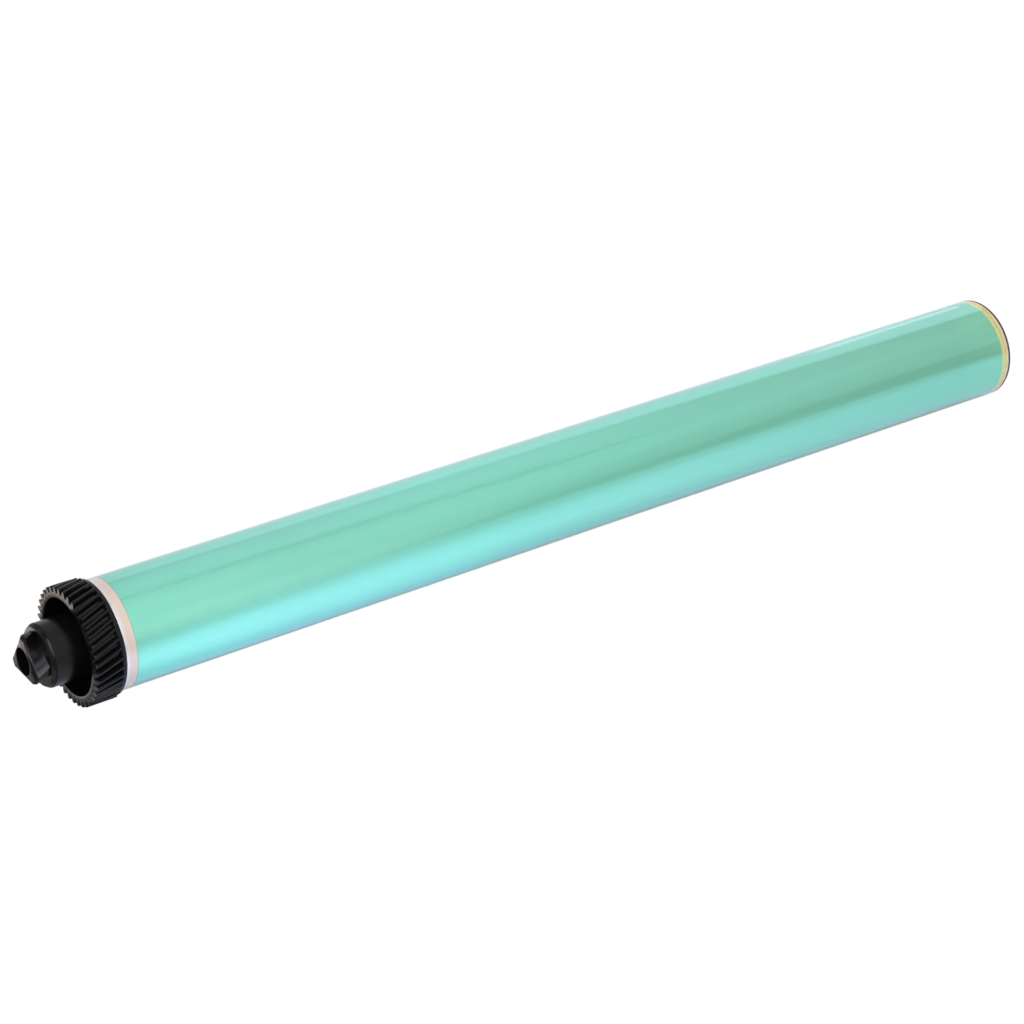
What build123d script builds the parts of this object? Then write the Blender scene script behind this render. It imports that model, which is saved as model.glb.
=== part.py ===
from build123d import *
import os
from math import acos, atan, cos, degrees, pi, radians, sin, sqrt, tan

# Photoconductor drum unit, standing on its far end with the coupling up.
# Origin at the middle of the foot, +Z along the drum's axis, millimetres.

# Aluminium tube
tube_diameter = 24.0
tube_length = 245.85
tube_wall = 0.75
tube_edge_chamfer = 0.3
tube_bore_chamfer = 0.2

# Coats on the tube, with the bare or cream margins they leave at each end
undercoat_thickness = 0.015
undercoat_margin_gear = 0.75
undercoat_margin_hub = 0.35
photo_coat_thickness = 0.025
photo_coat_margin_gear = 2.75
photo_coat_margin_hub = 1.0

# Bond between tube and flanges
bond_gap = 0.02
glue_groove_depth = 0.2
glue_groove_width = 1.5
glue_groove_setback = 2.5
plug_wall = 1.3
plug_lead_in = 0.6

# Helical gear of the drive flange
tooth_count = 39
normal_module = 0.6
helix_angle = 19.5
pressure_angle = 20.0
profile_shift = -0.1
root_depth_in_modules = 1.0
gear_backlash = 0.04
gear_width = 6.15
tooth_phase = -5.3
ring_wall = 1.2

# Drive flange: collar, web, journal and plug
collar_lip = 0.55
collar_width = 0.95
recess_floor_height = 0.9
recess_edge_round = 0.2
web_thickness = 1.6
drive_plug_length = 9.0
drive_rib_count = 6
drive_rib_thickness = 1.0
drive_rib_depth = 3.5
journal_radius = 6.9
journal_wall = 2.1
journal_reach = 6.6
journal_chamfer_radial = 0.6
journal_chamfer_axial = 0.9

# Twisted three-sided coupling on the journal's nose
prism_length = 3.3
prism_flat_radius = 3.6
prism_corner_radius = 5.5
prism_twist_rate = -7.5
prism_tip_angle = -36.0
prism_bevel_radial = 0.35
prism_bevel_axial = 0.6
prism_wall = 0.6
tip_hole_depth = 9.3
core_floor = 2.0

# Hub flange
hub_rim_thickness = 0.45
hub_plug_length = 7.5
hub_recess_depth = 4.0
hub_web_thickness = 1.4
hub_rib_count = 6
hub_rib_thickness = 1.0
hub_rib_setback = 0.7
axle_bore_radius = 3.0
barrel_wall = 1.6
barrel_setback = 0.3
axle_bore_chamfer = 0.3

# Earth contact, staked to the inner end of the hub flange
contact_thickness = 0.2
contact_margin = 0.35
contact_window_radius = 5.2
barb_count = 4
barb_width = 1.6
tongue_count = 2
tongue_width = 2.4
tongue_rise = 0.9
contact_gap = 0.02
stake_circle_radius = 7.4
stake_radius = 0.9
stake_clearance = 0.1
stake_head_radius = 1.5
stake_head_height = 0.6

# Sizes that follow from those above
tube_radius = tube_diameter / 2
tube_bore_radius = tube_radius - tube_wall
plug_radius = tube_bore_radius - bond_gap
plug_bore_radius = plug_radius - plug_wall
undercoat_radius = tube_radius + undercoat_thickness
photo_coat_radius = undercoat_radius + photo_coat_thickness

pitch_radius = tooth_count * normal_module / (2 * cos(radians(helix_angle)))
tip_radius = pitch_radius + (1 + profile_shift) * normal_module
root_radius = pitch_radius - (root_depth_in_modules - profile_shift) * normal_module
gear_twist = -degrees(gear_width * tan(radians(helix_angle)) / pitch_radius)
recess_radius = root_radius - ring_wall
collar_radius = max(tube_radius + collar_lip, root_radius)

tube_bottom = hub_rim_thickness
tube_top = tube_bottom + tube_length
gear_bottom = tube_top + collar_width
gear_top = gear_bottom + gear_width
recess_floor = tube_top + recess_floor_height
web_back = recess_floor - web_thickness
journal_top = gear_top + journal_reach
prism_top = journal_top + prism_length
tip_hole_radius = prism_flat_radius - prism_wall
tip_hole_floor = prism_top - tip_hole_depth
core_radius = journal_radius - journal_wall
core_top = tip_hole_floor - core_floor

barrel_radius = axle_bore_radius + barrel_wall
hub_plug_top = tube_bottom + hub_plug_length
hub_web_back = hub_recess_depth + hub_web_thickness
contact_top = hub_plug_top + contact_thickness

on_base = (Align.CENTER, Align.CENTER, Align.MIN)


def revolved(points):
    """Solid of revolution of an outline given as radius and height."""
    outline = Polyline(*[(r, 0, z) for r, z in points], close=True)
    return revolve(make_face(outline), Axis.Z)


def sleeve(inner_radius, outer_radius, bottom, top):
    outer = Pos(0, 0, bottom) * Cylinder(outer_radius, top - bottom, align=on_base)
    inner = Pos(0, 0, bottom) * Cylinder(inner_radius, top - bottom, align=on_base)
    return outer - inner


def ribs(count, thickness, inner_radius, outer_radius, bottom, top):
    """Radial ribs that run a little into the walls at both ends."""
    overlap = thickness / 2
    length = outer_radius - inner_radius + 2 * overlap
    middle = (inner_radius + outer_radius) / 2
    rib = Pos(middle, 0, bottom) * Box(length, thickness, top - bottom, align=on_base)
    return [Rot(0, 0, 360 * index / count) * rib for index in range(count)]


def twisted(section, height, angle):
    """Section drawn on the XY plane, raised and turned about Z at a steady rate."""
    return Solid.extrude_linear_with_rotation(section, (0, 0, 0), (0, 0, height), angle)


def polar(radius, angle):
    return (radius * cos(angle), radius * sin(angle), 0)


def drum_tube():
    chamfer_inner = tube_bore_radius + tube_bore_chamfer
    chamfer_outer = tube_radius - tube_edge_chamfer
    points = [
        (chamfer_inner, tube_bottom),
        (chamfer_outer, tube_bottom),
        (tube_radius, tube_bottom + tube_edge_chamfer),
        (tube_radius, tube_top - tube_edge_chamfer),
        (chamfer_outer, tube_top),
        (chamfer_inner, tube_top),
        (tube_bore_radius, tube_top - tube_bore_chamfer),
        (tube_bore_radius, tube_bottom + tube_bore_chamfer),
    ]
    return revolved(points)


def undercoat():
    bottom = tube_bottom + undercoat_margin_hub
    top = tube_top - undercoat_margin_gear
    return sleeve(tube_radius, undercoat_radius, bottom, top)


def photoconductor_coat():
    bottom = tube_bottom + photo_coat_margin_hub
    top = tube_top - photo_coat_margin_gear
    return sleeve(undercoat_radius, photo_coat_radius, bottom, top)


def involute_flank(base_radius, half_angle, side):
    """Flank from the root to the tip, half_angle off the tooth's middle at the pitch circle."""

    def turn(radius):
        if radius <= base_radius:
            return 0
        roll = sqrt((radius / base_radius) ** 2 - 1)
        return roll - atan(roll)

    at_pitch = turn(pitch_radius)
    radii = [root_radius + (tip_radius - root_radius) * step / 4 for step in range(5)]
    return [(radius, side * (half_angle + at_pitch - turn(radius))) for radius in radii]


def tooth_section():
    """Outline of the whole gear across its axis."""
    transverse_angle = atan(tan(radians(pressure_angle)) / cos(radians(helix_angle)))
    base_radius = pitch_radius * cos(transverse_angle)
    thickness = normal_module * (pi / 2 + 2 * profile_shift * tan(radians(pressure_angle)))
    half_angle = (thickness - gear_backlash) / cos(radians(helix_angle)) / (2 * pitch_radius)
    pitch = 2 * pi / tooth_count
    edges = []
    for index in range(tooth_count):
        middle = radians(tooth_phase) + index * pitch
        right = [polar(r, middle + a) for r, a in involute_flank(base_radius, half_angle, -1)]
        left = [polar(r, middle + a) for r, a in involute_flank(base_radius, half_angle, 1)]
        next_root = involute_flank(base_radius, half_angle, -1)[0][1] + pitch
        root_left = involute_flank(base_radius, half_angle, 1)[0][1]
        gap_middle = middle + (root_left + next_root) / 2
        edges += Spline(*right).edges()
        edges += ThreePointArc(right[-1], polar(tip_radius, middle), left[-1]).edges()
        edges += Spline(*left[::-1]).edges()
        root_end = polar(root_radius, middle + next_root)
        edges += ThreePointArc(left[0], polar(root_radius, gap_middle), root_end).edges()
    return Face(Wire(edges))


def gear_ring():
    teeth = twisted(tooth_section(), gear_width, gear_twist)
    bore = Cylinder(recess_radius, gear_width, align=on_base)
    ring = teeth - bore
    mouth = ring.edges().filter_by(GeomType.CIRCLE).filter_by(
        lambda edge: abs(edge.radius - recess_radius) < recess_edge_round
    )
    ring = fillet(mouth.sort_by(Axis.Z)[-1], recess_edge_round)
    return Pos(0, 0, gear_bottom) * ring


def drive_flange_body():
    """Collar, web, journal and hollow plug, as one turned outline."""
    plug_end = tube_top - drive_plug_length
    groove_top = tube_top - glue_groove_setback
    groove_bottom = groove_top - glue_groove_width
    groove_radius = plug_radius - glue_groove_depth
    points = [
        (0, journal_top),
        (journal_radius - journal_chamfer_radial, journal_top),
        (journal_radius, journal_top - journal_chamfer_axial),
        (journal_radius, recess_floor),
        (recess_radius, recess_floor),
        (recess_radius, gear_bottom),
        (collar_radius, gear_bottom),
        (collar_radius, tube_top),
        (plug_radius, tube_top),
        (plug_radius, groove_top),
        (groove_radius, groove_top),
        (groove_radius, groove_bottom),
        (plug_radius, groove_bottom),
        (plug_radius, plug_end + plug_lead_in),
        (plug_radius - plug_lead_in / 2, plug_end),
        (plug_bore_radius, plug_end),
        (plug_bore_radius, web_back),
        (core_radius, web_back),
        (core_radius, core_top),
        (0, core_top),
    ]
    return revolved(points)


def coupling_section(inset=0):
    """Three flats with round corners, a corner on +X, drawn in by inset all round."""
    corner_radius = prism_corner_radius - inset
    half_flat = acos((prism_flat_radius - inset) / corner_radius)
    edges = []
    for index in range(3):
        middle = radians(60 + 120 * index)
        start = polar(corner_radius, middle - half_flat)
        end = polar(corner_radius, middle + half_flat)
        corner = polar(corner_radius, middle + radians(60))
        following = polar(corner_radius, middle + radians(120) - half_flat)
        edges += Line(start, end).edges()
        edges += ThreePointArc(end, corner, following).edges()
    return Face(Wire(edges))


def coupling_prism():
    """Twisted flanks up to the shoulder, then a bevel that leads into the driver."""
    shoulder_height = prism_length - prism_bevel_axial
    shoulder_angle = prism_tip_angle - prism_twist_rate * prism_bevel_axial
    twist = prism_twist_rate * shoulder_height
    flanks = Rot(0, 0, shoulder_angle - twist) * twisted(coupling_section(), shoulder_height, twist)
    shoulder = Pos(0, 0, shoulder_height) * Rot(0, 0, shoulder_angle) * coupling_section()
    tip = Pos(0, 0, prism_length) * Rot(0, 0, prism_tip_angle) * coupling_section(prism_bevel_radial)
    return Pos(0, 0, journal_top) * (flanks + loft([shoulder, tip], ruled=True))


def drive_flange():
    flange = drive_flange_body() + gear_ring() + coupling_prism()
    rib_bottom = web_back - drive_rib_depth
    rib_set = ribs(
        drive_rib_count, drive_rib_thickness, core_radius, plug_bore_radius, rib_bottom, web_back
    )
    barrel = sleeve(core_radius, core_radius + drive_rib_thickness, rib_bottom, web_back)
    tip_hole = Pos(0, 0, tip_hole_floor) * Cylinder(tip_hole_radius, tip_hole_depth, align=on_base)
    core = Pos(0, 0, rib_bottom) * Cylinder(core_radius, core_top - rib_bottom, align=on_base)
    return flange + rib_set + barrel - core - tip_hole


def hub_flange_body():
    """Rim, hollow plug, web and axle barrel, as one turned outline."""
    groove_bottom = tube_bottom + glue_groove_setback
    groove_top = groove_bottom + glue_groove_width
    groove_radius = plug_radius - glue_groove_depth
    points = [
        (axle_bore_radius + axle_bore_chamfer, barrel_setback),
        (barrel_radius, barrel_setback),
        (barrel_radius, hub_recess_depth),
        (plug_bore_radius, hub_recess_depth),
        (plug_bore_radius, 0),
        (tube_radius, 0),
        (tube_radius, tube_bottom),
        (plug_radius, tube_bottom),
        (plug_radius, groove_bottom),
        (groove_radius, groove_bottom),
        (groove_radius, groove_top),
        (plug_radius, groove_top),
        (plug_radius, hub_plug_top - plug_lead_in),
        (plug_radius - plug_lead_in / 2, hub_plug_top),
        (plug_bore_radius, hub_plug_top),
        (plug_bore_radius, hub_web_back),
        (barrel_radius, hub_web_back),
        (barrel_radius, hub_plug_top),
        (axle_bore_radius, hub_plug_top),
        (axle_bore_radius, barrel_setback + axle_bore_chamfer),
    ]
    return revolved(points)


def stakes(radius, bottom, top):
    stake = Pos(0, stake_circle_radius, bottom) * Cylinder(radius, top - bottom, align=on_base)
    return [stake, Rot(0, 0, 180) * stake]


def hub_flange():
    rib_set = ribs(
        hub_rib_count,
        hub_rib_thickness,
        barrel_radius,
        plug_bore_radius,
        hub_rib_setback,
        hub_recess_depth,
    )
    head_top = contact_top + stake_head_height
    flange = hub_flange_body() + rib_set
    flange += stakes(stake_radius, hub_web_back, contact_top)
    return flange + stakes(stake_head_radius, contact_top, head_top)


def contact_tongue():
    """Finger that slopes from the window's edge up to the side of the axle."""
    root = contact_window_radius + contact_thickness
    tip = axle_bore_radius + contact_gap
    outline = Polyline(
        (root, 0, hub_plug_top),
        (root, 0, contact_top),
        (tip, 0, contact_top + tongue_rise),
        (tip, 0, hub_plug_top + tongue_rise),
        close=True,
    )
    return extrude(make_face(outline), tongue_width / 2, both=True)


def earth_contact():
    """Stamped spring plate: barbs against the tube's bore, tongues against the axle."""
    plate_radius = plug_radius - contact_margin
    reach = tube_bore_radius - contact_gap
    plate = sleeve(contact_window_radius, plate_radius, hub_plug_top, contact_top)
    barb_length = reach - contact_window_radius - contact_margin
    barb = Pos(reach - barb_length / 2, 0, hub_plug_top) * Box(
        barb_length, barb_width, contact_thickness, align=on_base
    )
    plate += [Rot(0, 0, 360 * (index + 0.5) / barb_count) * barb for index in range(barb_count)]
    plate &= Pos(0, 0, hub_plug_top) * Cylinder(reach, contact_thickness, align=on_base)
    tongue = contact_tongue()
    plate += [Rot(0, 0, 360 * index / tongue_count) * tongue for index in range(tongue_count)]
    for hole in stakes(stake_radius + stake_clearance, hub_plug_top, contact_top):
        plate -= hole
    return plate


os.makedirs("parts", exist_ok=True)
pieces = {
    "drum_tube": drum_tube(),
    "undercoat": undercoat(),
    "photoconductor_coat": photoconductor_coat(),
    "drive_flange": drive_flange(),
    "hub_flange": hub_flange(),
    "earth_contact": earth_contact(),
}
for name, piece in pieces.items():
    export_step(piece, f"parts/{name}.step")
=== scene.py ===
import bmesh
import bpy
from math import acos, atan, cos, pi, radians, sin, sqrt, tan
from mathutils import Matrix, Vector


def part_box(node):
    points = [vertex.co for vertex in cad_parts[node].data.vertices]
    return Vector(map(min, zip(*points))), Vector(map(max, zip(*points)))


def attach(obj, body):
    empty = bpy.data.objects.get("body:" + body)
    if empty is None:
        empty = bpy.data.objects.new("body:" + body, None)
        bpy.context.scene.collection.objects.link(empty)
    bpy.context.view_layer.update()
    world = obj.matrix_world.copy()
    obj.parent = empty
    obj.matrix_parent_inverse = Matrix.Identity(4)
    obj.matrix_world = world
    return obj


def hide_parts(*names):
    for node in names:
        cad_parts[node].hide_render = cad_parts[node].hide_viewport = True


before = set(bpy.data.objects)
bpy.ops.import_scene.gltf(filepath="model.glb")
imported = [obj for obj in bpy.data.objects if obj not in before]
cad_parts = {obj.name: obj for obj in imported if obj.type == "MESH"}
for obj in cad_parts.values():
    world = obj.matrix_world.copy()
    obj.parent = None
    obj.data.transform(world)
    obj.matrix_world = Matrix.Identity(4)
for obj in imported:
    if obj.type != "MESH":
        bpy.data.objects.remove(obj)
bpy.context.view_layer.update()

# A photoconductor drum stands on its hub, gear and coupling up. The camera looks down on it
# from the side and is rolled, so that the drum runs across the picture.
mm = 0.001  # lengths are in metres and angles in degrees, where no note says otherwise
root = "root"
scene = bpy.context.scene


# Small helpers

def toLinear(hexColor):
    channels = [int(hexColor[i:i + 2], 16) / 255 for i in (1, 3, 5)]
    linear = [c / 12.92 if c <= 0.04045 else ((c + 0.055) / 1.055) ** 2.4 for c in channels]
    return (*linear, 1)


def addNode(tree, kind, settings=None, links=None):
    # settings are the node's own properties or its input sockets, links go into its inputs
    node = tree.nodes.new(kind)
    for name, value in (settings or {}).items():
        if isinstance(name, str) and hasattr(node, name):
            setattr(node, name, value)
        else:
            node.inputs[name].default_value = value
    for name, output in (links or {}).items():
        tree.links.new(output, node.inputs[name])
    return node


def newMaterial(name):
    material = bpy.data.materials.new(name)
    material.use_nodes = True
    material.node_tree.nodes.clear()
    return material, material.node_tree


def addRamp(tree, stops, factor):
    # stops are (place, colour) pairs in rising order
    ramp = addNode(tree, "ShaderNodeValToRGB", {}, {"Fac": factor})
    steps = ramp.color_ramp.elements
    while len(steps) < len(stops):
        steps.new(0.5)
    for step, (place, color) in zip(steps, stops):
        step.position = place
        step.color = toLinear(color)
    return ramp


def closeMaterial(tree, shader):
    addNode(tree, "ShaderNodeOutputMaterial", {}, {"Surface": shader.outputs[0]})


# Building meshes from rings of points

def shell(rows, around=True, loop=True):
    # skins a list of rows, each a list of points, into one mesh
    mesh = bmesh.new()
    grid = [[mesh.verts.new(point) for point in row] for row in rows]
    columns = len(rows[0])
    for i in range(len(rows) if loop else len(rows) - 1):
        here = grid[i]
        above = grid[(i + 1) % len(rows)]
        for j in range(columns if around else columns - 1):
            k = (j + 1) % columns
            mesh.faces.new((here[j], here[k], above[k], above[j]))
    bmesh.ops.remove_doubles(mesh, verts=mesh.verts, dist=1e-7)
    return mesh


def polar(radius, angle, z):
    return Vector((radius * cos(angle), radius * sin(angle), z))


def turned(outline, segments):
    # lathe: outline is a list of (radius, height)
    turns = [2 * pi * j / segments for j in range(segments)]
    return shell([[polar(r, a, z) for a in turns] for r, z in outline])


def eased(outline, radius, steps=3):
    # rounds the corners of a closed outline, less where its sides are short
    sideShare = 0.35
    nearlyStraight = -0.98
    softened = []
    count = len(outline)
    for i in range(count):
        corner = Vector(outline[i])
        before = Vector(outline[i - 1]) - corner
        after = Vector(outline[(i + 1) % count]) - corner
        onAxis = corner.x < 1e-9
        straight = before.normalized().dot(after.normalized()) < nearlyStraight
        if onAxis or straight:
            softened.append(tuple(corner))
            continue
        reach = min(radius, before.length * sideShare, after.length * sideShare)
        start = corner + before.normalized() * reach
        end = corner + after.normalized() * reach
        for step in range(steps + 1):
            t = step / steps
            point = start * (1 - t) ** 2 + corner * 2 * t * (1 - t) + end * t ** 2
            softened.append(tuple(point))
    return softened


def asObject(name, mesh, material, sharpAngle=38):
    bmesh.ops.recalc_face_normals(mesh, faces=mesh.faces)
    data = bpy.data.meshes.new(name)
    mesh.to_mesh(data)
    mesh.free()
    data.shade_smooth()
    data.set_sharp_from_angle(angle=radians(sharpAngle))
    data.materials.append(material)
    piece = bpy.data.objects.new(name, data)
    scene.collection.objects.link(piece)
    return piece


def weighNormals(piece):
    weighted = piece.modifiers.new("faceWeights", "WEIGHTED_NORMAL")
    weighted.keep_sharp = True
    weighted.weight = 80


def settle(piece, slot, *nodes):
    weighNormals(piece)
    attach(piece, root)
    if nodes:
        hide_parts(*nodes)


# A Geometry Nodes tree that repeats one pitch around the axis and then twists it

def repeatTree(name):
    tree = bpy.data.node_groups.new(name, "GeometryNodeTree")
    face = tree.interface
    face.new_socket("Geometry", in_out="INPUT", socket_type="NodeSocketGeometry")
    for label, kind, start in (
        ("Count", "NodeSocketInt", 6),
        ("Twist per metre", "NodeSocketFloat", 0.0),
        ("Twist starts at", "NodeSocketFloat", 0.0),
        ("Weld distance", "NodeSocketFloat", 1e-6),
        ("Material", "NodeSocketMaterial", None),
    ):
        socket = face.new_socket(label, in_out="INPUT", socket_type=kind)
        if start is not None:
            socket.default_value = start
    face.new_socket("Geometry", in_out="OUTPUT", socket_type="NodeSocketGeometry")

    given = addNode(tree, "NodeGroupInput")
    size = given.outputs
    points = addNode(tree, "GeometryNodeMeshLine", {"mode": "OFFSET"}, {"Count": size["Count"]})
    points.inputs["Offset"].default_value = (0, 0, 0)
    index = addNode(tree, "GeometryNodeInputIndex")
    step = addNode(tree, "ShaderNodeMath", {"operation": "DIVIDE", 0: 2 * pi}, {1: size["Count"]})
    turn = addNode(
        tree, "ShaderNodeMath", {"operation": "MULTIPLY"}, {0: index.outputs[0], 1: step.outputs[0]}
    )
    rotation = addNode(tree, "ShaderNodeCombineXYZ", {}, {"Z": turn.outputs[0]})
    copies = addNode(
        tree,
        "GeometryNodeInstanceOnPoints",
        {},
        {
            "Points": points.outputs[0],
            "Instance": size["Geometry"],
            "Rotation": rotation.outputs[0],
        },
    )
    real = addNode(tree, "GeometryNodeRealizeInstances", {}, {"Geometry": copies.outputs[0]})
    welded = addNode(
        tree,
        "GeometryNodeMergeByDistance",
        {},
        {"Geometry": real.outputs[0], "Distance": size["Weld distance"]},
    )
    place = addNode(tree, "GeometryNodeInputPosition")
    split = addNode(tree, "ShaderNodeSeparateXYZ", {}, {0: place.outputs[0]})
    height = addNode(
        tree,
        "ShaderNodeMath",
        {"operation": "SUBTRACT"},
        {0: split.outputs["Z"], 1: size["Twist starts at"]},
    )
    angle = addNode(
        tree,
        "ShaderNodeMath",
        {"operation": "MULTIPLY"},
        {0: height.outputs[0], 1: size["Twist per metre"]},
    )
    swung = addNode(
        tree,
        "ShaderNodeVectorRotate",
        {"rotation_type": "Z_AXIS"},
        {"Vector": place.outputs[0], "Angle": angle.outputs[0]},
    )
    twisted = addNode(
        tree,
        "GeometryNodeSetPosition",
        {},
        {"Geometry": welded.outputs[0], "Position": swung.outputs[0]},
    )
    dressed = addNode(
        tree,
        "GeometryNodeSetMaterial",
        {},
        {"Geometry": twisted.outputs[0], "Material": size["Material"]},
    )
    addNode(tree, "NodeGroupOutput", {}, {"Geometry": dressed.outputs[0]})
    return tree


pitchRepeater = repeatTree("repeatAroundAxis")


def repeated(name, mesh, material, count, twist=0.0, twistStart=0.0):
    # runs the tree on one pitch and returns the plain mesh that comes out
    seed = asObject(name + "Seed", mesh, material)
    modifier = seed.modifiers.new("repeat", "NODES")
    modifier.node_group = pitchRepeater
    wanted = {
        "Count": count,
        "Twist per metre": twist,
        "Twist starts at": twistStart,
        "Weld distance": 2e-6,
        "Material": material,
    }
    for item in pitchRepeater.interface.items_tree:
        if item.in_out == "INPUT" and item.name in wanted:
            modifier[item.identifier] = wanted[item.name]
    graph = bpy.context.evaluated_depsgraph_get()
    result = bmesh.new()
    data = bpy.data.meshes.new_from_object(seed.evaluated_get(graph))
    result.from_mesh(data)
    bpy.data.meshes.remove(data)
    seed.modifiers.remove(modifier)
    bpy.data.objects.remove(seed)
    return result


def joined(meshes):
    whole = bmesh.new()
    for mesh in meshes:
        bmesh.ops.recalc_face_normals(mesh, faces=mesh.faces)
        data = bpy.data.meshes.new("part")
        mesh.to_mesh(data)
        mesh.free()
        whole.from_mesh(data)
        bpy.data.meshes.remove(data)
    return whole


# Materials

def photoFilmMaterial(coatBottom, coatTop):
    # Organic photoconductor: a clear amber resin over a thin blue-green pigment layer, dip
    # coated on bright aluminium. It looks like tinted metal under a glossy lacquer, greener
    # face on and bluer along the edges. The pigment thins out at both ends: to yellow-green and
    # tan where the bath drains off the low end, to a pale line at the upper one.
    look = {
        # the film's colour changes a little along the tube, in steps fitted to how bright it looks
        # there: partly its own tone, partly painted light and shade along the tube
        "film": (
            (0.025, "#90E0C1"),
            (0.06, "#8ADDC1"),
            (0.25, "#88E0C4"),
            (0.5, "#86E4C6"),
            (0.67, "#86E5C7"),
            (0.83, "#85E0C3"),
            (1.0, "#88EACA"),
        ),
        "streakDepth": 0.025,
        "drained": (
            (0.0, "#EACF98"),
            (0.25, "#EBD68A"),
            (0.5, "#E5ED98"),
            (0.78, "#D6F0A2"),
            (1.0, "#ACE4B4"),
        ),
        "drainedReach": 1.7 * mm,
        "drainedBlend": (1.0 * mm, 1.9 * mm),
        "drainedMetal": 0.5,
        "rimLine": "#BFCBAA",
        "rimReach": 0.4 * mm,
        "edge": "#C5D8DF",
        "streakWidth": 2.2 * mm,
        "streakLength": 90 * mm,
        "roughness": 0.2,
    }
    material, tree = newMaterial("photoconductorFilm")
    spot = addNode(tree, "ShaderNodeTexCoord")
    parts = addNode(tree, "ShaderNodeSeparateXYZ", {}, {0: spot.outputs["Object"]})
    stretch = addNode(
        tree,
        "ShaderNodeMapping",
        {
            "Scale": (
                1 / look["streakWidth"],
                1 / look["streakWidth"],
                1 / look["streakLength"],
            )
        },
        {"Vector": spot.outputs["Object"]},
    )
    streaks = addNode(
        tree,
        "ShaderNodeTexNoise",
        {"Scale": 1.0, "Detail": 3.0, "Roughness": 0.5},
        {"Vector": stretch.outputs[0]},
    )
    faint = addNode(
        tree,
        "ShaderNodeMapRange",
        {"From Min": 0.3, "From Max": 0.7, "To Min": 1 - look["streakDepth"]},
        {"Value": streaks.outputs["Fac"]},
    )

    def heightRange(low, high, shape="LINEAR"):
        settings = {"interpolation_type": shape, "From Min": low, "From Max": high}
        return addNode(tree, "ShaderNodeMapRange", settings, {"Value": parts.outputs["Z"]})

    # painted light and shade along the tube, mixed with the film's own tone, set by height
    along = heightRange(coatBottom, coatTop)
    shade = addRamp(tree, look["film"], along.outputs[0])
    drift = addNode(
        tree,
        "ShaderNodeVectorMath",
        {"operation": "SCALE"},
        {"Vector": shade.outputs["Color"], "Scale": faint.outputs[0]},
    )
    climb = heightRange(coatBottom, coatBottom + look["drainedReach"])
    drained = addRamp(tree, look["drained"], climb.outputs[0])
    blend = [coatBottom + reach for reach in look["drainedBlend"]]
    cover = heightRange(*blend, "SMOOTHSTEP")
    lower = addNode(
        tree,
        "ShaderNodeMix",
        {"data_type": "RGBA"},
        {0: cover.outputs[0], 6: drained.outputs["Color"], 7: drift.outputs[0]},
    )
    brink = heightRange(coatTop - look["rimReach"], coatTop, "SMOOTHSTEP")
    ends = addNode(
        tree,
        "ShaderNodeMix",
        {"data_type": "RGBA", 7: toLinear(look["rimLine"])},
        {0: brink.outputs[0], 6: lower.outputs[2]},
    )
    metal = heightRange(*blend)
    metal.inputs["To Min"].default_value = look["drainedMetal"]
    film = addNode(
        tree,
        "ShaderNodeBsdfPrincipled",
        {
            "Roughness": look["roughness"],
            "Specular Tint": toLinear(look["edge"]),
            "Coat Weight": 1.0,
            "Coat Roughness": 0.04,
            "Coat IOR": 1.58,
        },
        {"Base Color": ends.outputs[2], "Metallic": metal.outputs[0]},
    )
    closeMaterial(tree, film)
    return material


def undercoatMaterial(coatTop):
    # Undercoat resin with white filler on turned aluminium: cream, satin, a little metallic, and
    # so thin along its upper edge that the bare metal whitens it.
    look = {
        "cream": "#EFE0CE",
        "creamDeep": "#E9D6C3",
        "brink": "#F4F1EF",
        "brinkReach": 0.35 * mm,
        "drained": "#F4E2B6",
        "drainedReach": 10 * mm,
        "grain": 0.6 * mm,
    }
    material, tree = newMaterial("creamUndercoat")
    spot = addNode(tree, "ShaderNodeTexCoord")
    parts = addNode(tree, "ShaderNodeSeparateXYZ", {}, {0: spot.outputs["Object"]})
    cloud = addNode(
        tree,
        "ShaderNodeTexNoise",
        {"Scale": 1 / (4 * look["grain"]), "Detail": 3.0},
        {"Vector": spot.outputs["Object"]},
    )
    tone = addNode(
        tree,
        "ShaderNodeMix",
        {"data_type": "RGBA", 6: toLinear(look["creamDeep"]), 7: toLinear(look["cream"])},
        {0: cloud.outputs["Fac"]},
    )
    brink = addNode(
        tree,
        "ShaderNodeMapRange",
        {
            "interpolation_type": "SMOOTHSTEP",
            "From Min": coatTop - look["brinkReach"],
            "From Max": coatTop,
        },
        {"Value": parts.outputs["Z"]},
    )
    low = addNode(
        tree,
        "ShaderNodeMath",
        {"operation": "LESS_THAN", 1: look["drainedReach"]},
        {0: parts.outputs["Z"]},
    )
    lower = addNode(
        tree,
        "ShaderNodeMix",
        {"data_type": "RGBA", 7: toLinear(look["drained"])},
        {0: low.outputs[0], 6: tone.outputs[2]},
    )
    thinned = addNode(
        tree,
        "ShaderNodeMix",
        {"data_type": "RGBA", 7: toLinear(look["brink"])},
        {0: brink.outputs[0], 6: lower.outputs[2]},
    )
    resin = addNode(
        tree,
        "ShaderNodeBsdfPrincipled",
        {"Metallic": 0.55, "Roughness": 0.28, "Coat Weight": 0.4, "Coat Roughness": 0.1},
        {"Base Color": thinned.outputs[2]},
    )
    closeMaterial(tree, resin)
    return material


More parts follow.
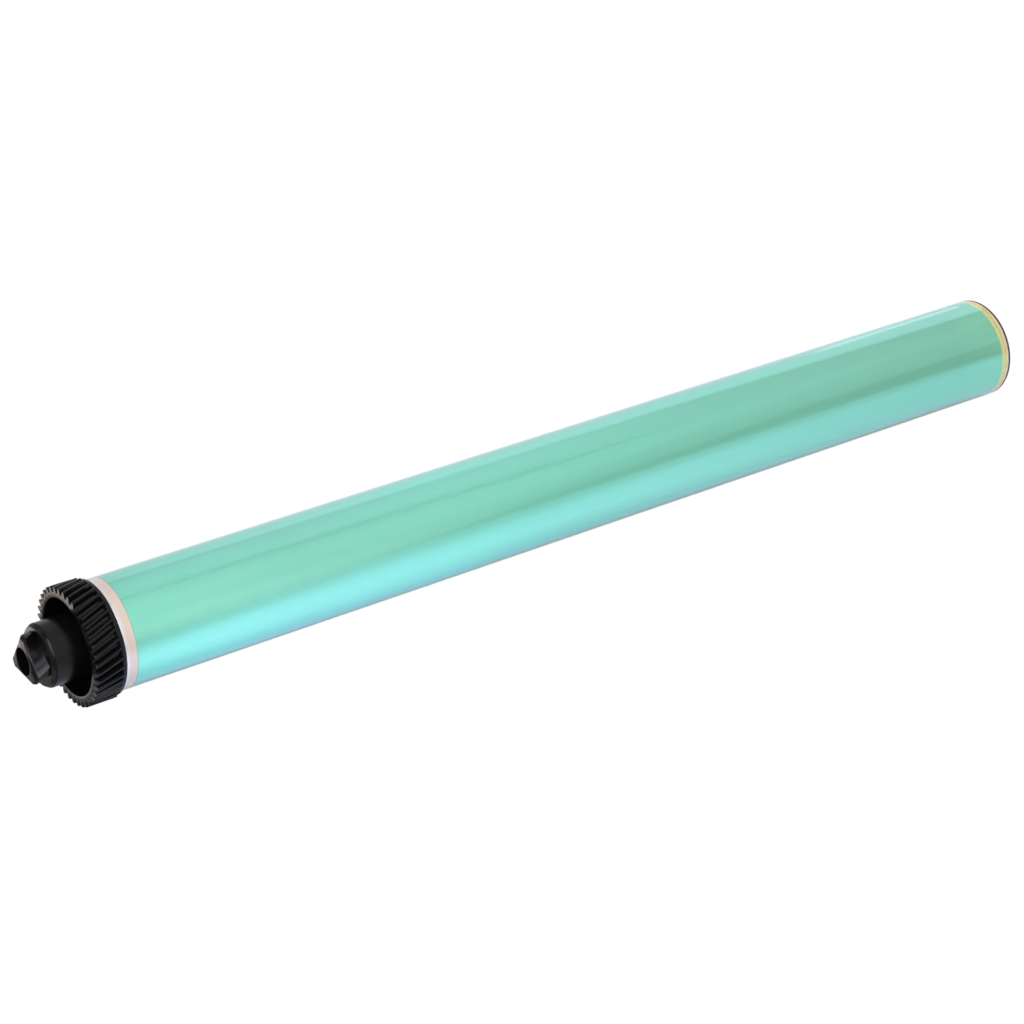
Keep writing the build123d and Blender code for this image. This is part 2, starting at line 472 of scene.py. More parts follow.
def turnedAluminiumMaterial():
    # Aluminium alloy tube, diamond turned: bright, with fine rings around it. The real feed is
    # about 0.05 mm, drawn here at 0.2 mm so that it shows.
    look = {"metal": "#EAE8E4", "feed": 0.2 * mm, "roughness": 0.2}
    material, tree = newMaterial("diamondTurnedAluminium")
    spot = addNode(tree, "ShaderNodeTexCoord")
    rings = addNode(
        tree,
        "ShaderNodeTexWave",
        {
            "wave_type": "BANDS",
            "bands_direction": "Z",
            "Scale": 1 / (look["feed"] * 20),
            "Distortion": 0.6,
        },
        {"Vector": spot.outputs["Object"]},
    )
    relief = addNode(
        tree,
        "ShaderNodeBump",
        {"Strength": 0.15, "Distance": 0.01 * mm},
        {"Height": rings.outputs["Fac"]},
    )
    metal = addNode(
        tree,
        "ShaderNodeBsdfPrincipled",
        {
            "Base Color": toLinear(look["metal"]),
            "Metallic": 1.0,
            "Roughness": look["roughness"],
        },
        {"Normal": relief.outputs[0]},
    )
    closeMaterial(tree, metal)
    return material


def mouldedPlasticMaterial(name, look):
    # Fine spark-eroded texture and slow changes of gloss, as a moulding tool leaves them.
    material, tree = newMaterial(name)
    spot = addNode(tree, "ShaderNodeTexCoord")
    flow = addNode(
        tree,
        "ShaderNodeTexNoise",
        {"Scale": 1 / look["flow"], "Detail": 2.0},
        {"Vector": spot.outputs["Object"]},
    )
    grain = addNode(
        tree,
        "ShaderNodeTexNoise",
        {"Scale": 1 / look["grain"], "Detail": 2.0},
        {"Vector": spot.outputs["Object"]},
    )
    gloss = addNode(
        tree,
        "ShaderNodeMapRange",
        {
            "From Min": 0.3,
            "From Max": 0.7,
            "To Min": look["roughness"][0],
            "To Max": look["roughness"][1],
        },
        {"Value": flow.outputs["Fac"]},
    )
    tone = addNode(
        tree,
        "ShaderNodeMix",
        {"data_type": "RGBA", 6: toLinear(look["dark"]), 7: toLinear(look["light"])},
        {0: flow.outputs["Fac"]},
    )
    relief = addNode(
        tree,
        "ShaderNodeBump",
        {"Strength": look["relief"], "Distance": 0.02 * mm},
        {"Height": grain.outputs["Fac"]},
    )
    plastic = addNode(
        tree,
        "ShaderNodeBsdfPrincipled",
        {"IOR": look["ior"], "Specular IOR Level": 0.28},
        {
            "Base Color": tone.outputs[2],
            "Roughness": gloss.outputs[0],
            "Normal": relief.outputs[0],
        },
    )
    closeMaterial(tree, plastic)
    return material


def springBronzeMaterial():
    # Phosphor bronze strip, cold rolled: warm metal with faint rolling lines.
    look = {"metal": "#C79A6A", "dull": "#A87C50", "lines": 0.25 * mm}
    material, tree = newMaterial("phosphorBronzeStrip")
    spot = addNode(tree, "ShaderNodeTexCoord")
    along = addNode(
        tree,
        "ShaderNodeMapping",
        {"Scale": (1 / look["lines"], 1 / (40 * look["lines"]), 1 / look["lines"])},
        {"Vector": spot.outputs["Object"]},
    )
    lines = addNode(tree, "ShaderNodeTexNoise", {"Scale": 1.0}, {"Vector": along.outputs[0]})
    tone = addNode(
        tree,
        "ShaderNodeMix",
        {"data_type": "RGBA", 6: toLinear(look["dull"]), 7: toLinear(look["metal"])},
        {0: lines.outputs["Fac"]},
    )
    metal = addNode(
        tree,
        "ShaderNodeBsdfPrincipled",
        {"Metallic": 1.0, "Roughness": 0.3},
        {"Base Color": tone.outputs[2]},
    )
    closeMaterial(tree, metal)
    return material


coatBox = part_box("photoconductor_coat")
filmFinish = photoFilmMaterial(coatBox[0].z, coatBox[1].z)
creamFinish = undercoatMaterial(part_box("undercoat")[1].z)
aluminiumFinish = turnedAluminiumMaterial()
# Black acetal, moulded in a polished tool: glossy, hard highlights
acetalFinish = mouldedPlasticMaterial(
    "blackAcetal",
    {
        "dark": "#0A0A0A",
        "light": "#101010",
        "ior": 1.48,
        "roughness": (0.16, 0.24),
        "relief": 0.1,
        "flow": 6 * mm,
        "grain": 0.15 * mm,
    },
)
# Black polycarbonate, moulded: browner and more satin
hubFinish = mouldedPlasticMaterial(
    "blackPolycarbonate",
    {
        "dark": "#564A44",
        "light": "#60544D",
        "ior": 1.58,
        "roughness": (0.3, 0.42),
        "relief": 0.25,
        "flow": 5 * mm,
        "grain": 0.12 * mm,
    },
)
bronzeFinish = springBronzeMaterial()
print("materials ready")


# Tube and its two coats

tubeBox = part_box("drum_tube")
tube = {
    "radius": 12.0 * mm,
    "wall": 0.75 * mm,
    "outerChamfer": 0.3 * mm,
    "innerChamfer": 0.2 * mm,
    "edge": 0.06 * mm,
    "bottom": tubeBox[0].z,
    "top": tubeBox[1].z,
    "segments": 256,
}
# The coats' thicknesses. Both ends of a coat thin out by beadShare of its thickness, over a
# slope beadRun times as long as that.
coats = {
    "undercoat": 0.015 * mm,
    "photoconductor": 0.025 * mm,
    "beadShare": 0.8,
    "beadRun": 6,
}


def makeTube():
    outer = tube["radius"]
    inner = outer - tube["wall"]
    low, high = tube["bottom"], tube["top"]
    cut, ream = tube["outerChamfer"], tube["innerChamfer"]
    outline = [
        (inner + ream, low),
        (outer - cut, low),
        (outer, low + cut),
        (outer, high - cut),
        (outer - cut, high),
        (inner + ream, high),
        (inner, high - ream),
        (inner, low + ream),
    ]
    mesh = turned(eased(outline, tube["edge"], 2), tube["segments"])
    piece = asObject("tubeTurned", mesh, aluminiumFinish)
    settle(piece, "bare_aluminium", "drum_tube")


def makeCoat(name, node, material, slot, thickness):
    low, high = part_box(node)
    outer = high.x
    inner = outer - thickness
    bead = thickness * coats["beadShare"]
    run = bead * coats["beadRun"]
    outline = [
        (inner, low.z),
        (outer - bead, low.z),
        (outer, low.z + run),
        (outer, high.z - run),
        (outer - bead, high.z),
        (inner, high.z),
    ]
    mesh = turned(outline, tube["segments"])
    piece = asObject(name, mesh, material)
    settle(piece, slot, node)


makeTube()
makeCoat("undercoatFilm", "undercoat", creamFinish, "undercoat_resin", coats["undercoat"])
makeCoat(
    "photoFilm",
    "photoconductor_coat",
    filmFinish,
    "photoconductor_resin",
    coats["photoconductor"],
)
print("tube and coats ready")


# Drive flange: helical gear ring, body with journal, twisted coupling

gear = {
    "teeth": 39,
    "module": 0.6 * mm,
    "helixAngle": 19.5,
    "pressureAngle": 20.0,
    "shift": -0.1,
    "rootDepth": 1.0,
    "backlash": 0.04 * mm,
    "width": 6.15 * mm,
    "phase": -5.3,
    "ringWall": 1.2 * mm,
    "easing": 0.1 * mm,
    "flankPoints": (0.3, 0.55, 0.8),
    "edgeBreak": 0.09 * mm,
    "boreEdge": 0.2 * mm,
    "bottom": tube["top"] + 0.95 * mm,
    "slices": 8,
    "sunk": 0.05 * mm,
}
gear["pitchRadius"] = gear["teeth"] * gear["module"] / (2 * cos(radians(gear["helixAngle"])))
gear["tipRadius"] = gear["pitchRadius"] + (1 + gear["shift"]) * gear["module"]
gear["rootRadius"] = gear["pitchRadius"] - (gear["rootDepth"] - gear["shift"]) * gear["module"]
gear["boreRadius"] = gear["rootRadius"] - gear["ringWall"]
gear["top"] = gear["bottom"] + gear["width"]


def toothPitch():
    # one pitch of the gear's outline as (radius, angle), from root to root, by the involute
    helix = radians(gear["helixAngle"])
    pressure = radians(gear["pressureAngle"])
    transverse = atan(tan(pressure) / cos(helix))
    baseRadius = gear["pitchRadius"] * cos(transverse)
    thickness = gear["module"] * (pi / 2 + 2 * gear["shift"] * tan(pressure))
    half = (thickness - gear["backlash"]) / cos(helix) / (2 * gear["pitchRadius"])

    def involute(radius):
        roll = sqrt(max(0.0, (radius / baseRadius) ** 2 - 1))
        return roll - atan(roll)

    def flank(radius):
        return half + involute(gear["pitchRadius"]) - involute(radius)

    # the round at the foot of a flank is twice as wide as the one at its tip
    foot, tip = gear["rootRadius"], gear["tipRadius"]
    easing = gear["easing"]
    side = [(foot, flank(foot) + 2 * easing / foot), (foot + easing * 0.6, flank(foot + easing))]
    for t in gear["flankPoints"]:
        radius = foot + (tip - foot) * t
        side.append((radius, flank(radius)))
    side.append((tip - easing * 0.7, flank(tip - easing)))
    side.append((tip, flank(tip) - easing / tip))
    middle = radians(gear["phase"])
    pitch = 2 * pi / gear["teeth"]
    points = [(foot, middle - pitch / 2)]
    points += [(r, middle - a) for r, a in side]
    points += [(tip, middle)]
    points += [(r, middle + a) for r, a in side[::-1]]
    points += [(foot, middle + pitch / 2)]
    return points


def gearRing():
    outline = toothPitch()
    bore, edge, chip = gear["boreRadius"], gear["boreEdge"], gear["edgeBreak"]
    low, high = gear["bottom"] - gear["sunk"], gear["top"]

    def ring(radius, z):
        return [polar(radius, a, z) for _, a in outline]

    def teethAt(z, inset=0.0):
        return [polar(r - inset, a, z) for r, a in outline]

    rows = [ring(bore, low), ring(bore, high - edge)]
    # the front edge of the bore is a quarter round
    for turn in (30, 60):
        swing = radians(turn)
        lift = edge * (1 - sin(swing))
        rows.append(ring(bore + edge * (1 - cos(swing)), high - lift))
    rows += [ring(bore + edge, high), teethAt(high, chip), teethAt(high - chip)]
    count = gear["slices"]
    reach = high - chip - gear["bottom"]
    for i in range(1, count):
        rows.append(teethAt(high - chip - reach * i / count))
    rows += [teethAt(gear["bottom"]), teethAt(low)]
    patch = shell(rows, around=False)
    twist = -tan(radians(gear["helixAngle"])) / gear["pitchRadius"]
    return repeated("gearRing", patch, acetalFinish, gear["teeth"], twist, gear["bottom"])


flange = {
    "journalRadius": 6.9 * mm,
    "journalTop": gear["top"] + 6.6 * mm,
    "noseRadial": 0.6 * mm,
    "noseAxial": 0.9 * mm,
    "recessFloor": tube["top"] + 0.9 * mm,
    "collarRadius": 12.55 * mm,
    "webThickness": 1.6 * mm,
    "plugLength": 9.0 * mm,
    "plugRadius": 11.23 * mm,
    "plugWall": 1.3 * mm,
    "plugLeadIn": 0.6 * mm,
    "coreRadius": 4.8 * mm,
    "coreFloor": 2.0 * mm,
    "ribDepth": 3.5 * mm,
    "ribThickness": 1.0 * mm,
    "ribs": 6,
    "moulded": 0.15 * mm,
    "segments": 192,
}
coupling = {
    "length": 3.3 * mm,
    "flatRadius": 3.6 * mm,
    "cornerRadius": 5.5 * mm,
    "twistPerMm": -7.5,
    "tipAngle": -36.0,
    "bevelRadial": 0.35 * mm,
    "bevelAxial": 0.6 * mm,
    "holeRadius": 3.0 * mm,
    "holeDepth": 9.3 * mm,
    "edge": 0.06 * mm,
    "slices": 12,
    "flatSteps": 20,
    "cornerSteps": 6,
}
coupling["top"] = flange["journalTop"] + coupling["length"]


def flangeBody():
    nose = flange["journalTop"]
    journal = flange["journalRadius"]
    floor = flange["recessFloor"]
    webBack = floor - flange["webThickness"]
    plug = flange["plugRadius"]
    plugBore = plug - flange["plugWall"]
    plugEnd = tube["top"] - flange["plugLength"]
    holeFloor = coupling["top"] - coupling["holeDepth"]
    coreTop = holeFloor - flange["coreFloor"]
    hole = coupling["holeRadius"]
    outline = [
        (0, holeFloor),
        (hole, holeFloor),
        (hole, nose),
        (journal - flange["noseRadial"], nose),
        (journal, nose - flange["noseAxial"]),
        (journal, floor),
        (gear["boreRadius"], floor),
        (gear["boreRadius"], gear["bottom"]),
        (flange["collarRadius"], gear["bottom"]),
        (flange["collarRadius"], tube["top"]),
        (plug, tube["top"]),
        (plug, plugEnd + flange["plugLeadIn"]),
        (plug - flange["plugLeadIn"] / 2, plugEnd),
        (plugBore, plugEnd),
        (plugBore, webBack),
        (flange["coreRadius"], webBack),
        (flange["coreRadius"], coreTop),
        (0, coreTop),
    ]
    return turned(eased(outline, flange["moulded"]), flange["segments"])


def couplingOutline(inset):
    # radius against angle for three flats with round corners, drawn in by inset all round
    flatRadius = coupling["flatRadius"] - inset
    cornerRadius = coupling["cornerRadius"] - inset
    halfFlat = acos(flatRadius / cornerRadius)
    third = 2 * pi / 3
    flatSteps, cornerSteps = coupling["flatSteps"], coupling["cornerSteps"]
    outline = []
    for side in range(3):
        middle = third * (side + 0.5)
        for i in range(flatSteps + 1):
            offset = halfFlat * (2 * i / flatSteps - 1)
            outline.append((flatRadius / cos(offset), middle + offset))
        for i in range(1, cornerSteps):
            offset = halfFlat + (third - 2 * halfFlat) * i / cornerSteps
            outline.append((cornerRadius, middle + offset))
    return outline


def couplingPrism():
    low, high = flange["journalTop"], coupling["top"]
    edge = coupling["edge"]
    hole = coupling["holeRadius"]
    bevel, drop = coupling["bevelRadial"], coupling["bevelAxial"]
    shoulder = high - drop
    tip = radians(coupling["tipAngle"])
    rate = radians(coupling["twistPerMm"]) / mm

    def section(z, inset=0.0):
        turn = tip + rate * (z - high)
        return [polar(r, a + turn, z) for r, a in couplingOutline(inset)]

    def holeAt(z, flare=0.0):
        turn = tip + rate * (z - high)
        return [polar(hole + flare, a + turn, z) for _, a in couplingOutline(bevel)]

    rows = [holeAt(low), holeAt(high - edge), holeAt(high, edge)]
    # the bevel runs from the tip's face to the shoulder, with a small round at both ends
    rows += [section(high, bevel + edge), section(high - edge, bevel)]
    rows += [section(shoulder + edge, bevel * edge / drop)]
    count = coupling["slices"]
    top = shoulder - edge
    rows += [section(top - (top - low) * i / count) for i in range(count + 1)]
    return shell(rows)


def closest(mesh, point):
    return min(mesh.verts, key=lambda vertex: (vertex.co - point).length)


def ribBlock(inner, outer, thickness, low, high):
    # one rib along +X as a closed block with eased long edges
    soft = thickness * 0.15
    half = thickness / 2
    section = eased([(half, low), (half, high), (-half, high), (-half, low)], soft, 2)
    near = [Vector((inner, y, z)) for y, z in section]
    far = [Vector((outer, y, z)) for y, z in section]
    mesh = shell([near, far], loop=False)
    for loopPoints in (near, far):
        mesh.faces.new([closest(mesh, point) for point in loopPoints])
    return mesh


def makeDriveFlange():
    webBack = flange["recessFloor"] - flange["webThickness"]
    rib = ribBlock(
        flange["coreRadius"] + flange["ribThickness"] / 2,
        flange["plugRadius"] - flange["plugWall"] / 2,
        flange["ribThickness"],
        webBack - flange["ribDepth"],
        webBack + flange["ribThickness"] / 2,
    )
    ribSet = repeated("flangeRibs", rib, acetalFinish, flange["ribs"])
    whole = joined([flangeBody(), gearRing(), couplingPrism(), ribSet])
    piece = asObject("driveFlangeMoulding", whole, acetalFinish)
    settle(piece, "black_acetal", "drive_flange")


makeDriveFlange()
print("drive flange ready")


# Hub flange at the foot

hub = {
    "rim": tube["bottom"],
    "radius": 12.0 * mm,
    "footEdge": 0.2 * mm,
    "plugRadius": 11.23 * mm,
    "plugWall": 1.3 * mm,
    "plugTop": tube["bottom"] + 7.5 * mm,
    "leadIn": 0.6 * mm,
    "recess": 4.0 * mm,
    "web": 1.4 * mm,
    "axleBore": 3.0 * mm,
    "barrelWall": 1.6 * mm,
    "setback": 0.3 * mm,
    "boreChamfer": 0.3 * mm,
    "ribs": 6,
    "ribThickness": 1.0 * mm,
    "ribSetback": 0.7 * mm,
    "stakeCircle": 7.4 * mm,
    "stakeRadius": 0.9 * mm,
    "headRadius": 1.5 * mm,
    "headHeight": 0.6 * mm,
    "crownRadius": 0.9 * mm,
    "crownHeight": 0.25 * mm,
    "contactThickness": 0.2 * mm,
    "sunk": 0.05 * mm,
    "moulded": 0.12 * mm,
    "segments": 192,
    "stakeSegments": 32,
}


def hubBody():
    bore = hub["axleBore"]
    barrel = bore + hub["barrelWall"]
    plugBore = hub["plugRadius"] - hub["plugWall"]
    webBack = hub["recess"] + hub["web"]
    outline = [
        (bore + hub["boreChamfer"], hub["setback"]),
        (barrel, hub["setback"]),
        (barrel, hub["recess"]),
        (plugBore, hub["recess"]),
        (plugBore, 0),
        (hub["radius"] - hub["footEdge"], 0),
        (hub["radius"], hub["footEdge"]),
        (hub["radius"], hub["rim"]),
        (hub["plugRadius"], hub["rim"]),
        (hub["plugRadius"], hub["plugTop"] - hub["leadIn"]),
        (hub["plugRadius"] - hub["leadIn"] / 2, hub["plugTop"]),
        (plugBore, hub["plugTop"]),
        (plugBore, webBack),
        (barrel, webBack),
        (barrel, hub["plugTop"]),
        (bore, hub["plugTop"]),
        (bore, hub["setback"] + hub["boreChamfer"]),
    ]
    return turned(eased(outline, hub["moulded"]), hub["segments"])


def stake():
    # heat-formed peg with a domed head
    low = hub["recess"] + hub["web"] - hub["sunk"]
    seat = hub["plugTop"] + hub["contactThickness"]
    top = seat + hub["headHeight"]
    outline = [
        (0, low),
        (hub["stakeRadius"], low),
        (hub["stakeRadius"], seat),
        (hub["headRadius"], seat),
        (hub["headRadius"], top - hub["crownHeight"]),
        (hub["crownRadius"], top),
        (0, top),
    ]
    mesh = turned(eased(outline, hub["moulded"], 2), hub["stakeSegments"])
    bmesh.ops.translate(mesh, verts=mesh.verts, vec=(0, hub["stakeCircle"], 0))
    return mesh


def makeHub():
    rib = ribBlock(
        hub["axleBore"] + hub["barrelWall"] / 2,
        hub["plugRadius"] - hub["plugWall"] / 2,
        hub["ribThickness"],
        hub["ribSetback"],
        hub["recess"] + hub["web"] / 2,
    )
    ribSet = repeated("hubRibs", rib, hubFinish, hub["ribs"])
    stakes = repeated("hubStakes", stake(), hubFinish, 2)
    whole = joined([hubBody(), ribSet, stakes])
    piece = asObject("hubFlangeMoulding", whole, hubFinish)
    settle(piece, "black_polycarbonate", "hub_flange")


makeHub()
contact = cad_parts["earth_contact"]
contact.material_slots[0].material = bronzeFinish
print("hub flange and earth contact ready")


# Floor, lights and camera

def floorMaterial():
    # white studio board: the camera sees it at full white, with the drum's shadow kept
    look = {"board": "#F6F6F5", "glow": 1.15, "share": 0.8}
    material, tree = newMaterial("whiteBoard")
    rays = addNode(tree, "ShaderNodeLightPath")
    share = addNode(
        tree,
        "ShaderNodeMath",
        {"operation": "MULTIPLY", 1: look["share"]},
        {0: rays.outputs["Is Camera Ray"]},
    )
    board = addNode(tree, "ShaderNodeBsdfDiffuse", {"Color": toLinear(look["board"])})
    glow = addNode(
        tree, "ShaderNodeEmission", {"Color": (1, 1, 1, 1), "Strength": look["glow"]}
    )
    both = addNode(
        tree,
        "ShaderNodeMixShader",
        {},
        {0: share.outputs[0], 1: board.outputs[0], 2: glow.outputs[0]},
    )
    closeMaterial(tree, both)
    return material


def makeFloor():
    half = 3.0
    data = bpy.data.meshes.new("floor")
    corners = [(-half, -half, 0), (half, -half, 0), (half, half, 0), (-half, half, 0)]
    data.from_pydata(corners, [], [(0, 1, 2, 3)])
    data.materials.append(floorMaterial())
    floor = bpy.data.objects.new("floor", data)
    scene.collection.objects.link(floor)


def makeWorld():
    look = {"dome": "#FFFFFF", "domeStrength": 0.34, "seen": 1.0}
    world = bpy.data.worlds.new("studio")
    scene.world = world
    world.use_nodes = True
    tree = world.node_tree
    tree.nodes.clear()
    rays = addNode(tree, "ShaderNodeLightPath")
    strength = addNode(
        tree,
        "ShaderNodeMapRange",
        {"To Min": look["domeStrength"], "To Max": look["seen"]},
        {"Value": rays.outputs["Is Camera Ray"]},
    )
    dome = addNode(
        tree,
        "ShaderNodeBackground",
        {"Color": toLinear(look["dome"])},
        {"Strength": strength.outputs[0]},
    )
    addNode(tree, "ShaderNodeOutputWorld", {}, {"Surface": dome.outputs[0]})


# Each soft box: its middle, the way it faces, the way its first side runs, its two sides, the
# brightness of its face and its tint. Lengths are in mm.
boxes = {
    # behind the drum and above it, seen in the end faces
    "backBox": {
        "place": (53, 170, 322),
        "facing": (-0.15, -0.93, -0.37),
        "along": (1, 0, 0),
        "size": (100, 110),
        "face": 1.75,
        "tint": "#FFECE0",
    },
    # behind the camera, seen in the nose of the coupling
    "frontBox": {
        "place": (220, -680, 725),
        "facing": (-0.26, 0.8, -0.545),
        "along": (1, 0.32, 0),
        "size": (900, 280),
        "face": 5.0,
        "tint": "#F7F3FF",
    },
    "lowFrontBox": {
        "place": (290, -890, 400),
        "facing": (-0.3, 0.93, -0.15),
        "along": (1, 0.32, 0),
        "size": (900, 250),
        "face": 2.5,
        "tint": "#F7F3FF",
    },
    # high on both sides, seen in the bevels of the journal and coupling
    "leftBox": {
        "place": (-612, 108, 898),
        "facing": (0.68, -0.12, -0.72),
        "along": (0.17, 0.98, 0),
        "size": (700, 700),
        "face": 0.6,
        "tint": "#FFFAF6",
    },
    "rightBox": {
        "place": (648, 234, 826),
        "facing": (-0.72, -0.26, -0.64),
        "along": (-0.34, 0.94, 0),
        "size": (600, 600),
        "face": 0.4,
        "tint": "#FFFAF6",
    },
}
# Each light sheet lies just above the floor and is seen only in the drum's reflections. Its
# outline runs in steps of (azimuth in degrees, distance in mm) from the drum's axis. Most sheets
# shine upwards, as brightly as their face says and in their tint, and the thin gaps between them
# are seen as dark lines along the film. A fade gives the azimuths, counted around fadeHub,
# between which the light comes up from nothing. The sheets that say what they pass shine no light
# and darken and tint what is seen through them: painted shade, seen only in the drum's reflections.
sheets = {
    "rightSheet": {
        "outline": (
            (0, 0), (-40, 14), (-31, 18), (-20, 29), (-10.5, 54), (-3, 97), (5, 166),
            (10.5, 253), (14.5, 365), (17.5, 473), (20.5, 611), (40, 720), (75, 720),
            (111, 600),
        ),
        "face": 0.41,
        "tint": "#EDE9FF",
    },
    "frontSheet": {
        "outline": (
            (0, 0), (-111, 15), (-112, 100), (-113, 611), (-75, 680), (-37, 680), (-5, 680),
            (15.5, 611), (13, 473), (10.5, 365), (6.5, 253), (0.5, 166), (-7.5, 98), (-15, 55),
            (-24, 29), (-35, 18), (-44, 14),
        ),
        "fade": (-113, -70),
        "face": 0.095,
        "tint": "#FFFBF2",
    },
    "leftSheet": {
        "outline": (
            (0, 0), (-190, 15), (-216, 38), (-230, 163), (-238, 364), (-241, 612),
            (-220, 680), (-190, 700), (-160, 700), (-111, 640), (-108, 40), (-105, 12.5),
        ),
        "fade": (-112, -138),
        "face": 0.33,
        "tint": "#A8D2FF",
    },
    "streakSheet": {
        "outline": ((-7, 15.5), (9, 23.5), (27, 72), (39, 72), (19, 23), (0, 15.1)),
        "face": 0.35,
        "tint": "#F4FAFF",
    },
    # painted shade: a dark line seen only in the film's reflection
    "darkStrip": {
        "outline": (
            (-28, 600), (-29.5, 494), (-32.5, 366), (-39.5, 255), (-43.5, 188), (-45, 170),
            (-49, 188), (-48.3, 255), (-42.2, 366), (-38.2, 494), (-37, 600),
        ),
        "passes": "#F2F3F3",
    },
    "nearShade": {
        "outline": ((-58, 14), (-63, 100), (-76, 200), (-117, 340), (-118, 14)),
        "passes": "#F9FAFA",
    },
    "nearDeepShade": {
        "outline": ((-91, 14), (-96, 100), (-105, 270), (-114, 360), (-117, 100), (-112, 14)),
        "passes": "#F4F6EF",
    },
    "leftShade": {
        "outline": (
            (-190, 20), (-198, 180), (-210, 330), (-226, 430), (-240, 380), (-236, 200), (-228, 20),
        ),
        "passes": "#F8FBFF",
    },
    "backShade": {
        "outline": ((90, 20), (90, 700), (116, 700), (116, 20)),
        "passes": "#E7FBFB",
    },
}
fadeHub = (-3.5, -11.5)  # a point on the floor, in mm
# the sheets lie one above the other, in mm over the floor, so that no two share a plane
sheetLift = {"first": 0.3, "step": 0.1}
# Each pool of light that a spot lamp throws down on the floor: its middle there, its radius,
# how much it adds to a white floor, its tint. Lengths are in mm.
pools = {
    "rightPool": {"place": (520, 0), "radius": 400, "adds": 0.27, "tint": "#DAD0FF"},
    "midRightPool": {"place": (240, -35), "radius": 130, "adds": 0.1, "tint": "#CCB4FF"},
    "backPool": {"place": (210, 364), "radius": 280, "adds": 0.12, "tint": "#F4FFEC"},
    "gapPool": {"place": (-150, -480), "radius": 230, "adds": 0.29, "tint": "#FEF1FF"},
    "midLeftPool": {"place": (-179, -65), "radius": 130, "adds": 0.19, "tint": "#FAC0FF"},
    "leftPool": {"place": (-520, -140), "radius": 400, "adds": 0.82, "tint": "#CDCFFF"},
    "backLeftPool": {"place": (-407, 254), "radius": 300, "adds": 0.45, "tint": "#93B8FF"},
}
poolLamp = {"height": 700, "radius": 60}


def hang(name, data, matrix, tint):
    data.color = toLinear(tint)[:3]
    light = bpy.data.objects.new(name, data)
    light.matrix_world = matrix
    light.visible_camera = False
    scene.collection.objects.link(light)


def addBox(name, lamp):
    data = bpy.data.lights.new(name, "AREA")
    data.shape = "RECTANGLE"
    data.size, data.size_y = (side * mm for side in lamp["size"])
    # a flat lamp's face shines at its power over pi and its area
    data.energy = lamp["face"] * pi * data.size * data.size_y
    back = -Vector(lamp["facing"]).normalized()
    along = Vector(lamp["along"])
    along = (along - back * along.dot(back)).normalized()
    turn = Matrix((along, back.cross(along), back)).transposed().to_4x4()
    hang(name, data, Matrix.Translation(Vector(lamp["place"]) * mm) @ turn, lamp["tint"])


def sheetMaterial(name, sheet):
    # shines from its upper side alone, and lets pass what comes from either side
    material, tree = newMaterial(name)
    passes = toLinear(sheet.get("passes", "#FFFFFF"))
    clear = addNode(tree, "ShaderNodeBsdfTransparent", {"Color": passes})
    if "face" not in sheet:
        closeMaterial(tree, clear)
        return material
    settings = {"Color": toLinear(sheet["tint"]), "Strength": sheet["face"]}
    glow = addNode(tree, "ShaderNodeEmission", settings)
    if "fade" in sheet:
        dark, full = sheet["fade"]
        spot = addNode(tree, "ShaderNodeTexCoord")
        turn = addNode(
            tree,
            "ShaderNodeMapping",
            {
                "vector_type": "TEXTURE",
                "Location": (fadeHub[0] * mm, fadeHub[1] * mm, 0),
                "Rotation": (0, 0, radians(dark)),
            },
            {"Vector": spot.outputs["Object"]},
        )
        sweep = addNode(
            tree, "ShaderNodeTexGradient", {"gradient_type": "RADIAL"}, {"Vector": turn.outputs[0]}
        )
        rise = addNode(
            tree,
            "ShaderNodeMapRange",
            {"From Min": 0.5, "From Max": 0.5 + (full - dark) / 360, "To Max": sheet["face"]},
            {"Value": sweep.outputs["Fac"]},
        )
        tree.links.new(rise.outputs[0], glow.inputs["Strength"])
    lit = addNode(tree, "ShaderNodeAddShader", {}, {0: clear.outputs[0], 1: glow.outputs[0]})
    side = addNode(tree, "ShaderNodeNewGeometry")
    both = addNode(
        tree,
        "ShaderNodeMixShader",
        {},
        {0: side.outputs["Backfacing"], 1: lit.outputs[0], 2: clear.outputs[0]},
    )
    closeMaterial(tree, both)
    return material


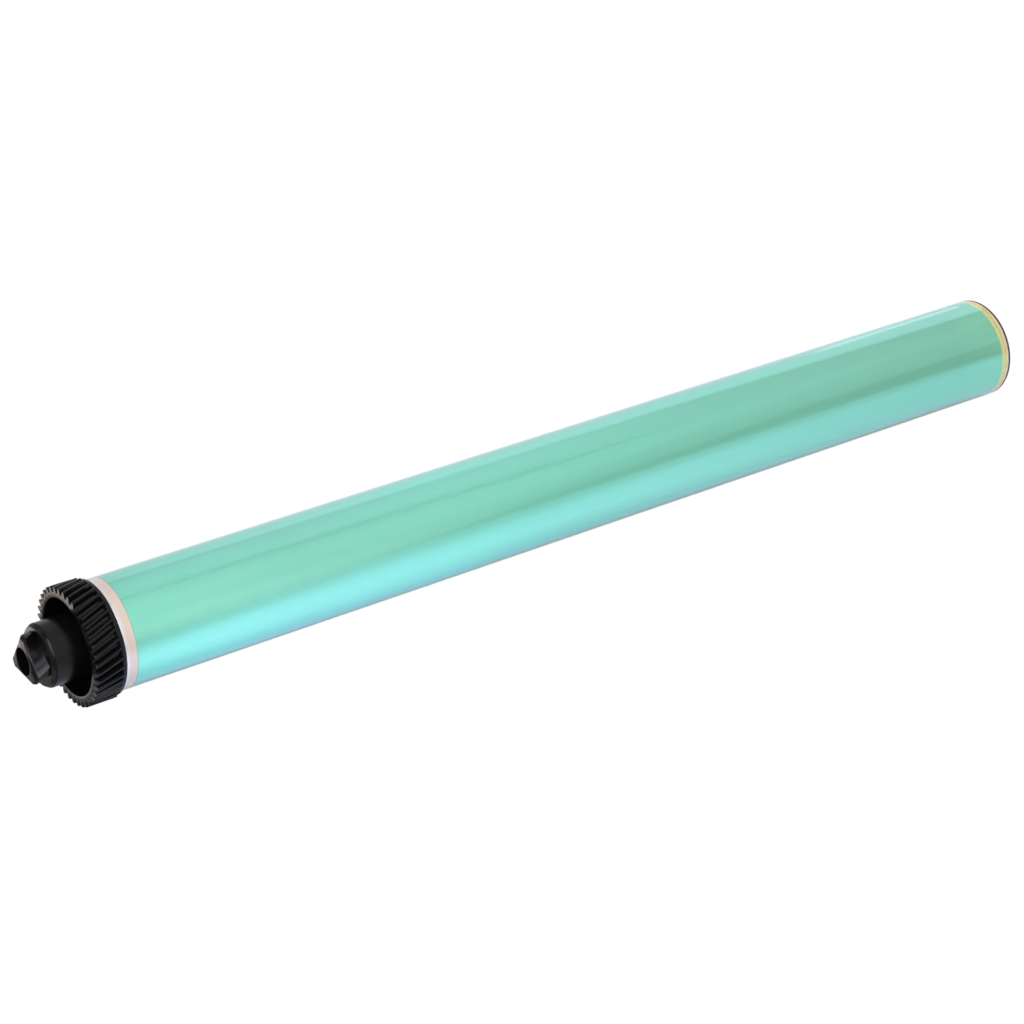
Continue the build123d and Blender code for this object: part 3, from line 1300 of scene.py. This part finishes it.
def addSheet(name, sheet, lift):
    data = bpy.data.meshes.new(name)
    ring = [polar(far * mm, radians(turn), lift * mm) for turn, far in sheet["outline"]]
    data.from_pydata(ring, [], [tuple(range(len(ring)))])
    if data.polygons[0].normal.z < 0:
        data.flip_normals()
    data.materials.append(sheetMaterial(name, sheet))
    piece = bpy.data.objects.new(name, data)
    piece.visible_camera = False
    piece.visible_diffuse = False
    piece.visible_shadow = False
    scene.collection.objects.link(piece)


def addPool(name, pool):
    data = bpy.data.lights.new(name, "SPOT")
    height = poolLamp["height"] * mm
    data.spot_size = 2 * atan(pool["radius"] / poolLamp["height"])
    data.spot_blend = 1.0
    data.shadow_soft_size = poolLamp["radius"] * mm
    # straight below it a spot lamp lights the floor at its power over 4 pi squared and height
    # squared
    data.energy = pool["adds"] * 4 * pi ** 2 * height ** 2
    x, y = pool["place"]
    hang(name, data, Matrix.Translation((x * mm, y * mm, height)), pool["tint"])


# The camera, fitted to the drum's outline in the photograph. Lens and sensor are in mm.
view = {
    "lens": 98.383,
    "sensor": 36,
    "shift": (0.00015, -0.000176),
    "position": (-0.002415, -0.538313, 0.46289),
    "tiltDown": 30.699,
    "roll": -108.39,
}


def makeCamera():
    data = bpy.data.cameras.new("camera")
    data.lens = view["lens"]
    data.sensor_width = view["sensor"]
    data.shift_x, data.shift_y = view["shift"]
    data.clip_start = 0.01
    camera = bpy.data.objects.new("camera", data)
    tilt = Matrix.Rotation(radians(90 - view["tiltDown"]), 4, "X")
    roll = Matrix.Rotation(radians(view["roll"]), 4, "Z")
    camera.matrix_world = Matrix.Translation(view["position"]) @ tilt @ roll
    scene.collection.objects.link(camera)
    scene.camera = camera


makeFloor()
makeWorld()
for boxName, box in boxes.items():
    addBox(boxName, box)
for count, (sheetName, sheet) in enumerate(sheets.items()):
    addSheet(sheetName, sheet, sheetLift["first"] + sheetLift["step"] * count)
for poolName, pool in pools.items():
    addPool(poolName, pool)
makeCamera()
scene.view_settings.view_transform = "Standard"
print("studio ready")
